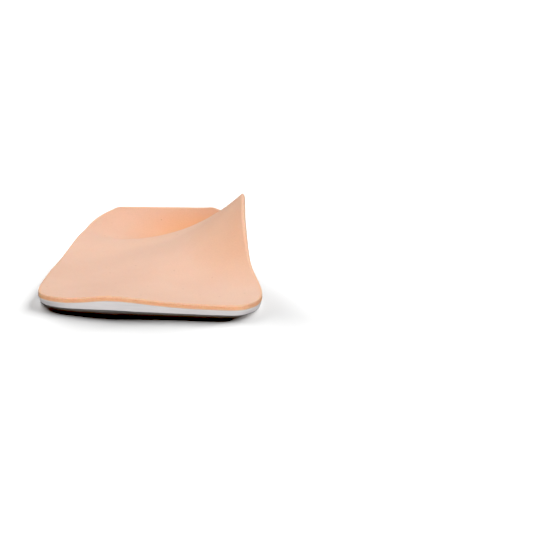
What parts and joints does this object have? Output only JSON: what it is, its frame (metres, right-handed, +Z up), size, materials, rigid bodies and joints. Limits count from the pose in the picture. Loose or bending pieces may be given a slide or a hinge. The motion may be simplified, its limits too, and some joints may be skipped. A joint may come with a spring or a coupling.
{
  "type": "orthopedic insole",
  "caption": "Three-quarter-length insole for a right foot, with a deep heel cup, a high inner arch flange and a foam cover on a moulded shell.",
  "frame": {"origin": "middle of the insole's bounding box, on the surface that it rests on", "axes": "+Z up, +Y from the toe end to the heel, +X to the inner (arch) side of the foot"},
  "size_m": [0.0924, 0.1858, 0.0352],
  "materials": {
    "cover_foam": "matt skin-coloured closed-cell foam with fine pores",
    "shell_plastic": "satin white moulded plastic with a ground edge"
  },
  "bodies": {
    "root": {"foam_cover": "cover_foam", "support_shell": "shell_plastic"}
  },
  "joints": []
}
